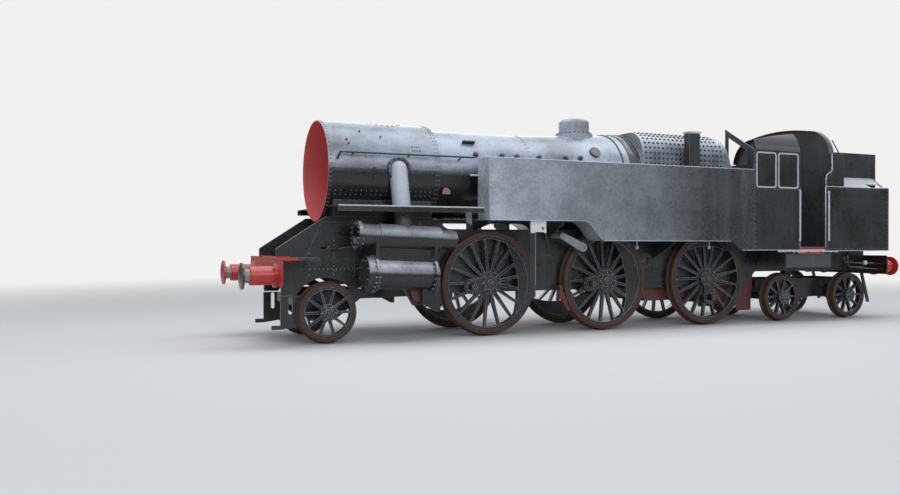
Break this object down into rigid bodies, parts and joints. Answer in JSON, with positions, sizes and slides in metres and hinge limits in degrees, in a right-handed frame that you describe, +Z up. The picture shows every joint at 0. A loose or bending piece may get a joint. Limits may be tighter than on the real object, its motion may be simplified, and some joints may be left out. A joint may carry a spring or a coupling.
{
  "type": "steam locomotive",
  "caption": "Side tank steam locomotive with spoked driving wheels, a leading truck, a trailing bogie, an open smokebox, a hollow cab and bunker, and no rods fitted.",
  "frame": {"origin": "Middle of the length over buffers, on the centre line, under the wheel flanges.", "axes": "+X forward to the smokebox end, +Y to the left side, +Z up."},
  "size_m": [13.82, 2.784, 3.9399],
  "materials": {
    "black_paint": "weathered gloss",
    "boiler_paint": "weathered gloss",
    "cast_iron": "painted casting",
    "grey_paint": "flat undercoat",
    "primer": "flat primer",
    "red_paint": "worn gloss",
    "steel": "bare, dull",
    "tyre_steel": "rusted treads"
  },
  "bodies": {
    "engine": {"main_frames": "black_paint", "driver_axleboxes": "cast_iron", "front_beam": "red_paint", "rear_beam": "red_paint", "front_buffers": "red_paint", "rear_buffers": "red_paint", "draw_hooks": "steel", "front_platform": "black_paint", "smokebox": "boiler_paint", "blast_pipe": "primer", "saddle": "cast_iron", "boiler_barrel": "boiler_paint", "dome": "boiler_paint", "firebox": "boiler_paint", "ashpan": "primer", "cylinder_left": "cast_iron", "cylinder_right": "cast_iron", "steam_pipes": "grey_paint", "running_plates": "black_paint", "tank_left": "black_paint", "tank_right": "black_paint", "tank_brackets": "black_paint", "cab_side_left": "black_paint", "cab_side_right": "black_paint", "window_frames": "grey_paint", "cab_front": "black_paint", "cab_floor": "black_paint", "cab_rear": "black_paint", "cab_roof": "black_paint", "bunker": "black_paint", "coal_plates": "black_paint", "cab_steps": "black_paint", "handrails": "black_paint", "motion_brackets": "black_paint", "reversing_arms": "steel", "tank_fittings": "black_paint", "boiler_fittings": "boiler_paint", "brake_gear": "primer"},
    "driver_1": {"driver_1_centres": "cast_iron", "driver_1_tyres": "tyre_steel", "driver_1_axle": "steel"},
    "driver_2": {"driver_2_centres": "cast_iron", "driver_2_tyres": "tyre_steel", "driver_2_axle": "steel"},
    "driver_3": {"driver_3_centres": "cast_iron", "driver_3_tyres": "tyre_steel", "driver_3_axle": "steel"},
    "pony_truck": {"pony_frame": "black_paint"},
    "pony_wheels": {"pony_centres": "cast_iron", "pony_tyres": "tyre_steel", "pony_axle": "steel"},
    "bogie": {"bogie_frame": "black_paint"},
    "bogie_front_wheels": {"bogie_front_centres": "cast_iron", "bogie_front_tyres": "tyre_steel", "bogie_front_axle": "steel"},
    "bogie_rear_wheels": {"bogie_rear_centres": "cast_iron", "bogie_rear_tyres": "tyre_steel", "bogie_rear_axle": "steel"}
  },
  "joints": [
    {"name": "driver_1_turn", "type": "hinge", "parent": "engine", "child": "driver_1", "pos_m": [2.744, 0, 0.892], "axis": [0, 1, 0], "continuous": true},
    {"name": "driver_2_turn", "type": "hinge", "parent": "engine", "child": "driver_2", "pos_m": [0.407, 0, 0.892], "axis": [0, 1, 0], "continuous": true},
    {"name": "driver_3_turn", "type": "hinge", "parent": "engine", "child": "driver_3", "pos_m": [-1.93, 0, 0.892], "axis": [0, 1, 0], "continuous": true},
    {"name": "pony_truck_swivel", "type": "hinge", "parent": "engine", "child": "pony_truck", "pos_m": [3.638, 0, 0.75], "axis": [0, 0, 1], "range_deg": [-3, 3]},
    {"name": "pony_wheels_turn", "type": "hinge", "parent": "pony_truck", "child": "pony_wheels", "pos_m": [5.538, 0, 0.485], "axis": [0, 1, 0], "continuous": true},
    {"name": "bogie_swivel", "type": "hinge", "parent": "engine", "child": "bogie", "pos_m": [-4.762, 0, 0.75], "axis": [0, 0, 1], "range_deg": [-3, 3]},
    {"name": "bogie_front_wheels_turn", "type": "hinge", "parent": "bogie", "child": "bogie_front_wheels", "pos_m": [-3.835, 0, 0.485], "axis": [0, 1, 0], "continuous": true},
    {"name": "bogie_rear_wheels_turn", "type": "hinge", "parent": "bogie", "child": "bogie_rear_wheels", "pos_m": [-5.689, 0, 0.485], "axis": [0, 1, 0], "continuous": true}
  ]
}
